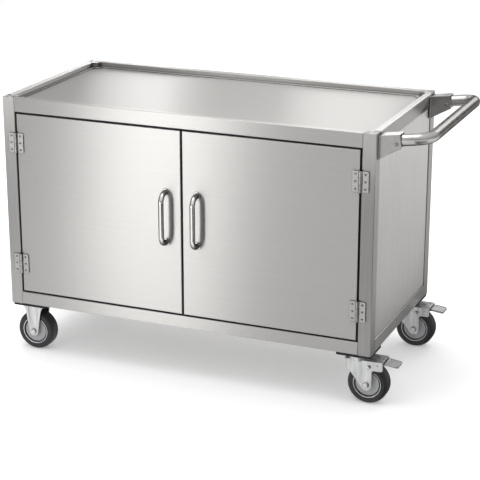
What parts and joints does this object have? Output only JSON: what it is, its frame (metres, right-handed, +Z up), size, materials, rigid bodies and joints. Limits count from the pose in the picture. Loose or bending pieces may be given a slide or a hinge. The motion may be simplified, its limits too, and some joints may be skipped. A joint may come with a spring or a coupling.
{
  "type": "cabinet trolley",
  "caption": "Stainless steel cabinet trolley with hinged double doors, recessed top, push handle, and rigid and braked swivel casters.",
  "frame": {"origin": "on the floor, under the middle of the overall length and depth", "axes": "+X along the length towards the push handle, +Y from the doors to the back, +Z up"},
  "size_m": [1.3616, 0.635, 0.8413],
  "materials": {
    "brushed_stainless_steel": "brushed grain",
    "satin_stainless_bar": "satin polished",
    "bright_fasteners": "bright plated",
    "zinc_plated_steel": "bright zinc plated pressing",
    "pressed_pedal_steel": "grey plated",
    "caster_rubber": "matt dark grey",
    "grey_hub_plastic": "grey moulded",
    "catch_plastic": "black moulded"
  },
  "bodies": {
    "cabinet": {"front_left_post": "brushed_stainless_steel", "front_right_post": "brushed_stainless_steel", "rear_left_post": "brushed_stainless_steel", "rear_right_post": "brushed_stainless_steel", "front_top_rail": "brushed_stainless_steel", "front_bottom_rail": "brushed_stainless_steel", "rear_top_rail": "brushed_stainless_steel", "rear_bottom_rail": "brushed_stainless_steel", "left_top_rail": "brushed_stainless_steel", "left_bottom_rail": "brushed_stainless_steel", "right_top_rail": "brushed_stainless_steel", "right_bottom_rail": "brushed_stainless_steel", "top_tray": "brushed_stainless_steel", "left_side_panel": "brushed_stainless_steel", "right_side_panel": "brushed_stainless_steel", "back_panel": "brushed_stainless_steel", "floor_panel": "brushed_stainless_steel", "inner_shelf": "brushed_stainless_steel", "shelf_angles": "brushed_stainless_steel", "door_catches": "catch_plastic", "push_handle_grip": "satin_stainless_bar", "push_handle_elbows": "satin_stainless_bar", "front_handle_bracket": "satin_stainless_bar", "rear_handle_bracket": "satin_stainless_bar", "handle_fasteners": "bright_fasteners", "hinge_frame_leaves": "satin_stainless_bar", "hinge_pins": "satin_stainless_bar", "hinge_frame_screws": "bright_fasteners", "caster_pads": "caster_rubber", "caster_bolts": "bright_fasteners", "front_left_fork": "zinc_plated_steel", "front_right_caster_plate": "zinc_plated_steel", "rear_left_fork": "zinc_plated_steel", "rear_right_caster_plate": "zinc_plated_steel", "left_caster_axles": "bright_fasteners", "caster_kingpins": "bright_fasteners"},
    "left_door": {"left_door_skin": "brushed_stainless_steel", "left_door_liner": "brushed_stainless_steel", "left_door_pull": "satin_stainless_bar", "left_door_hinge_leaves": "satin_stainless_bar", "left_door_screws": "bright_fasteners"},
    "right_door": {"right_door_skin": "brushed_stainless_steel", "right_door_liner": "brushed_stainless_steel", "right_door_pull": "satin_stainless_bar", "right_door_hinge_leaves": "satin_stainless_bar", "right_door_screws": "bright_fasteners"},
    "front_right_swivel": {"front_right_fork": "zinc_plated_steel", "front_right_axle": "bright_fasteners"},
    "front_pedal": {"front_brake_pedal": "pressed_pedal_steel"},
    "front_left_wheel": {"front_left_tyre": "caster_rubber", "front_left_hub": "grey_hub_plastic"},
    "front_right_wheel": {"front_right_tyre": "caster_rubber", "front_right_hub": "grey_hub_plastic"},
    "rear_right_swivel": {"rear_right_fork": "zinc_plated_steel", "rear_right_axle": "bright_fasteners"},
    "rear_pedal": {"rear_brake_pedal": "pressed_pedal_steel"},
    "rear_left_wheel": {"rear_left_tyre": "caster_rubber", "rear_left_hub": "grey_hub_plastic"},
    "rear_right_wheel": {"rear_right_tyre": "caster_rubber", "rear_right_hub": "grey_hub_plastic"}
  },
  "joints": [
    {"name": "left_door_hinge", "type": "hinge", "parent": "cabinet", "child": "left_door", "pos_m": [-0.63779, -0.2775, 0.495], "axis": [0, 0, -1], "range_deg": [0, 180]},
    {"name": "right_door_hinge", "type": "hinge", "parent": "cabinet", "child": "right_door", "pos_m": [0.47621, -0.2775, 0.495], "axis": [0, 0, 1], "range_deg": [0, 180]},
    {"name": "front_left_wheel_spin", "type": "hinge", "parent": "cabinet", "child": "front_left_wheel", "pos_m": [-0.61779, -0.2205, 0.0625], "axis": [0, 1, 0], "continuous": true},
    {"name": "front_right_caster_swivel", "type": "hinge", "parent": "cabinet", "child": "front_right_swivel", "pos_m": [0.46921, -0.2205, 0.155], "axis": [0, 0, 1], "continuous": true},
    {"name": "front_right_wheel_spin", "type": "hinge", "parent": "front_right_swivel", "child": "front_right_wheel", "pos_m": [0.50121, -0.2205, 0.0625], "axis": [0, 1, 0], "continuous": true},
    {"name": "front_brake_pedal_hinge", "type": "hinge", "parent": "front_right_swivel", "child": "front_pedal", "pos_m": [0.5349, -0.2205, 0.12861], "axis": [0, 1, 0], "range_deg": [0, 18]},
    {"name": "rear_left_wheel_spin", "type": "hinge", "parent": "cabinet", "child": "rear_left_wheel", "pos_m": [-0.61779, 0.2655, 0.0625], "axis": [0, 1, 0], "continuous": true},
    {"name": "rear_right_caster_swivel", "type": "hinge", "parent": "cabinet", "child": "rear_right_swivel", "pos_m": [0.46921, 0.2655, 0.155], "axis": [0, 0, 1], "continuous": true},
    {"name": "rear_right_wheel_spin", "type": "hinge", "parent": "rear_right_swivel", "child": "rear_right_wheel", "pos_m": [0.50121, 0.2655, 0.0625], "axis": [0, 1, 0], "continuous": true},
    {"name": "rear_brake_pedal_hinge", "type": "hinge", "parent": "rear_right_swivel", "child": "rear_pedal", "pos_m": [0.5349, 0.2655, 0.12861], "axis": [0, 1, 0], "range_deg": [0, 18]}
  ]
}
